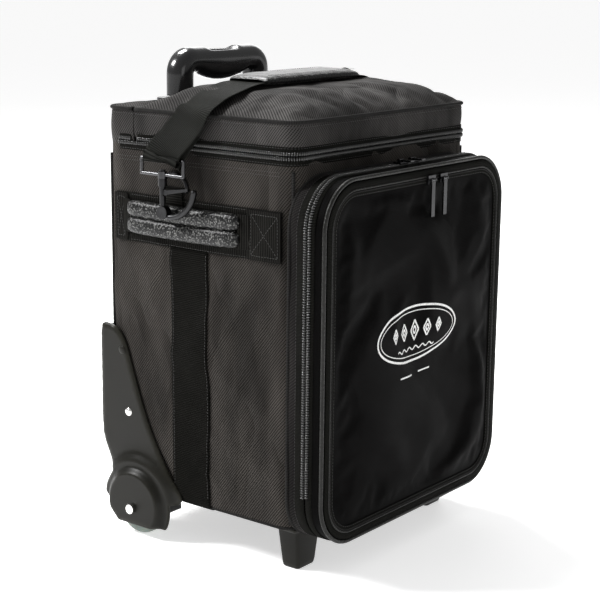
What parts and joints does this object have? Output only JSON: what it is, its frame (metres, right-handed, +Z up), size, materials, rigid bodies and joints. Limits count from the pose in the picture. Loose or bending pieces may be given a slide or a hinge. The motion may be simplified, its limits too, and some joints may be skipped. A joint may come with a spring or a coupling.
{
  "type": "wheeled soft carry bag",
  "caption": "Upright soft-sided bag on two wheels with telescoping handle, zip lid, zip front compartment, side grips and a padded carry strap.",
  "frame": {"origin": "on the floor under the middle of the bag: X = 0 is the plane of symmetry, Y = 0 half way between the foremost and rearmost points", "axes": "+Z up, -Y towards the front compartment, +X across the bag"},
  "size_m": [0.3512, 0.3052, 0.504],
  "materials": {
    "body_fabric": "diagonal twill weave",
    "lid_fabric": "diagonal twill weave",
    "front_fabric": "smooth satin weave",
    "webbing_black": "ribbed webbing",
    "zipper": "coil zipper",
    "foam": "closed-cell foam",
    "liner": "aluminised film",
    "board": "plain",
    "guard_plastic": "satin moulded",
    "handle_plastic": "gloss",
    "tube_metal": "satin anodised",
    "hook_metal": "black",
    "bright_metal": "polished",
    "pull_metal": "gunmetal",
    "grip_vinyl": "pebbled speckled vinyl",
    "badge": "printed",
    "wheel_tyre": "polyurethane",
    "wheel_core": "moulded",
    "steel": "plain"
  },
  "bodies": {
    "bag": {"body_shell": "body_fabric", "rear_deck": "body_fabric", "insulation_foam": "foam", "inner_liner": "liner", "base_board": "board", "back_board": "board", "lid_zipper_lower": "zipper", "compartment_gusset": "body_fabric", "compartment_zipper_rear": "zipper", "side_bands": "webbing_black", "lifting_strap": "webbing_black", "side_handles": "grip_vinyl", "d_rings": "hook_metal", "d_ring_tabs": "webbing_black", "wheel_bearings": "steel", "wheel_axles": "bright_metal", "wheel_guard_left": "guard_plastic", "wheel_guard_right": "guard_plastic", "guard_rivets": "bright_metal", "front_feet": "guard_plastic", "foot_screws": "steel", "outer_tubes": "tube_metal", "handle_bezel": "handle_plastic", "tube_bracket": "board"},
    "lid": {"lid_cover": "lid_fabric", "lid_foam": "foam", "lid_liner": "liner", "lid_zipper_upper": "zipper", "carry_strap": "webbing_black", "strap_pad": "grip_vinyl", "hook_loops": "bright_metal"},
    "door": {"door_tray": "front_fabric", "door_face_panel": "front_fabric", "pocket_zipper": "zipper", "compartment_zipper_front": "zipper", "front_badge": "badge"},
    "lid_slider": {"lid_slider": "pull_metal"},
    "lid_pull": {"lid_pull": "pull_metal"},
    "compartment_slider_1": {"compartment_slider_1": "pull_metal"},
    "compartment_pull_1": {"compartment_pull_1": "pull_metal"},
    "compartment_slider_2": {"compartment_slider_2": "pull_metal"},
    "compartment_pull_2": {"compartment_pull_2": "pull_metal"},
    "pocket_slider_1": {"pocket_slider_1": "pull_metal"},
    "pocket_pull_1": {"pocket_pull_1": "pull_metal"},
    "pocket_slider_2": {"pocket_slider_2": "pull_metal"},
    "pocket_pull_2": {"pocket_pull_2": "pull_metal"},
    "hook_left": {"hook_left": "hook_metal"},
    "hook_right": {"hook_right": "hook_metal"},
    "gate_left": {"hook_gate_left": "hook_metal"},
    "gate_right": {"hook_gate_right": "hook_metal"},
    "wheel_left": {"tyre_left": "wheel_tyre", "wheel_hub_left": "wheel_core"},
    "wheel_right": {"tyre_right": "wheel_tyre", "wheel_hub_right": "wheel_core"},
    "handle_lower": {"middle_tubes": "tube_metal"},
    "handle_upper": {"inner_tubes": "tube_metal", "handle_grip": "handle_plastic", "button_spring": "steel"},
    "button": {"release_button": "handle_plastic"}
  },
  "joints": [
    {"name": "lid_hinge", "type": "hinge", "parent": "bag", "child": "lid", "pos_m": [0, 0.1006, 0.447], "axis": [-1, 0, 0], "range_deg": [0, 60]},
    {"name": "door_hinge", "type": "hinge", "parent": "bag", "child": "door", "pos_m": [0, -0.1264, 0.037], "axis": [1, 0, 0], "range_deg": [0, 90]},
    {"name": "handle_lower_stage", "type": "slide", "parent": "bag", "child": "handle_lower", "axis": [0, 0, 1], "range_m": [0, 0.24]},
    {"name": "handle_upper_stage", "type": "slide", "parent": "handle_lower", "child": "handle_upper", "axis": [0, 0, 1], "range_m": [0, 0.24]},
    {"name": "button_press", "type": "slide", "parent": "handle_upper", "child": "button", "axis": [0, 0, -1], "range_m": [0, 0.0035], "stiffness_N_per_m": 800, "springref_m": -0.0006, "deforming": ["button_spring"]},
    {"name": "wheel_left_spin", "type": "hinge", "parent": "bag", "child": "wheel_left", "pos_m": [-0.149, 0.0956, 0.03], "axis": [1, 0, 0], "continuous": true},
    {"name": "hook_left_swivel", "type": "hinge", "parent": "lid", "child": "hook_left", "pos_m": [-0.171, 0.0436, 0.38], "axis": [0, 0, -1], "range_deg": [0, 30]},
    {"name": "gate_left_open", "type": "hinge", "parent": "hook_left", "child": "gate_left", "pos_m": [-0.171, 0.0386, 0.371], "axis": [1, 0, 0], "range_deg": [0, 22], "stiffness_Nm_per_rad": 0.05, "springref_deg": -11.46},
    {"name": "wheel_right_spin", "type": "hinge", "parent": "bag", "child": "wheel_right", "pos_m": [0.149, 0.0956, 0.03], "axis": [1, 0, 0], "continuous": true},
    {"name": "hook_right_swivel", "type": "hinge", "parent": "lid", "child": "hook_right", "pos_m": [0.171, 0.0436, 0.38], "axis": [0, 0, 1], "range_deg": [0, 30]},
    {"name": "gate_right_open", "type": "hinge", "parent": "hook_right", "child": "gate_right", "pos_m": [0.171, 0.0386, 0.371], "axis": [1, 0, 0], "range_deg": [0, 22], "stiffness_Nm_per_rad": 0.05, "springref_deg": -11.46},
    {"name": "lid_slider_travel", "type": "slide", "parent": "bag", "child": "lid_slider", "axis": [0, 1, 0], "range_m": [0, 0.04]},
    {"name": "lid_pull_swing", "type": "hinge", "parent": "lid_slider", "child": "lid_pull", "pos_m": [0.1569, -0.0734, 0.415], "axis": [0, -1, 0], "range_deg": [0, 100]},
    {"name": "compartment_slider_1_travel", "type": "slide", "parent": "bag", "child": "compartment_slider_1", "axis": [1, 0, 0], "range_m": [-0.09, 0]},
    {"name": "compartment_pull_1_swing", "type": "hinge", "parent": "compartment_slider_1", "child": "compartment_pull_1", "pos_m": [-0.008, -0.1264, 0.4017], "axis": [-1, 0, 0], "range_deg": [0, 110]},
    {"name": "compartment_slider_2_travel", "type": "slide", "parent": "bag", "child": "compartment_slider_2", "axis": [1, 0, 0], "range_m": [0, 0.09]},
    {"name": "compartment_pull_2_swing", "type": "hinge", "parent": "compartment_slider_2", "child": "compartment_pull_2", "pos_m": [0.012, -0.1264, 0.4017], "axis": [-1, 0, 0], "range_deg": [0, 110]},
    {"name": "pocket_slider_1_travel", "type": "slide", "parent": "door", "child": "pocket_slider_1", "axis": [1, 0, 0], "range_m": [-0.09, 0]},
    {"name": "pocket_pull_1_swing", "type": "hinge", "parent": "pocket_slider_1", "child": "pocket_pull_1", "pos_m": [0.014, -0.1513, 0.382], "axis": [-1, 0, 0], "range_deg": [0, 100]},
    {"name": "pocket_slider_2_travel", "type": "slide", "parent": "door", "child": "pocket_slider_2", "axis": [1, 0, 0], "range_m": [0, 0.06]},
    {"name": "pocket_pull_2_swing", "type": "hinge", "parent": "pocket_slider_2", "child": "pocket_pull_2", "pos_m": [0.036, -0.1513, 0.382], "axis": [-1, 0, 0], "range_deg": [0, 100]}
  ],
  "couplings": [
    {"joint": "handle_lower_stage", "follows": "handle_upper_stage", "ratio": 1}
  ]
}
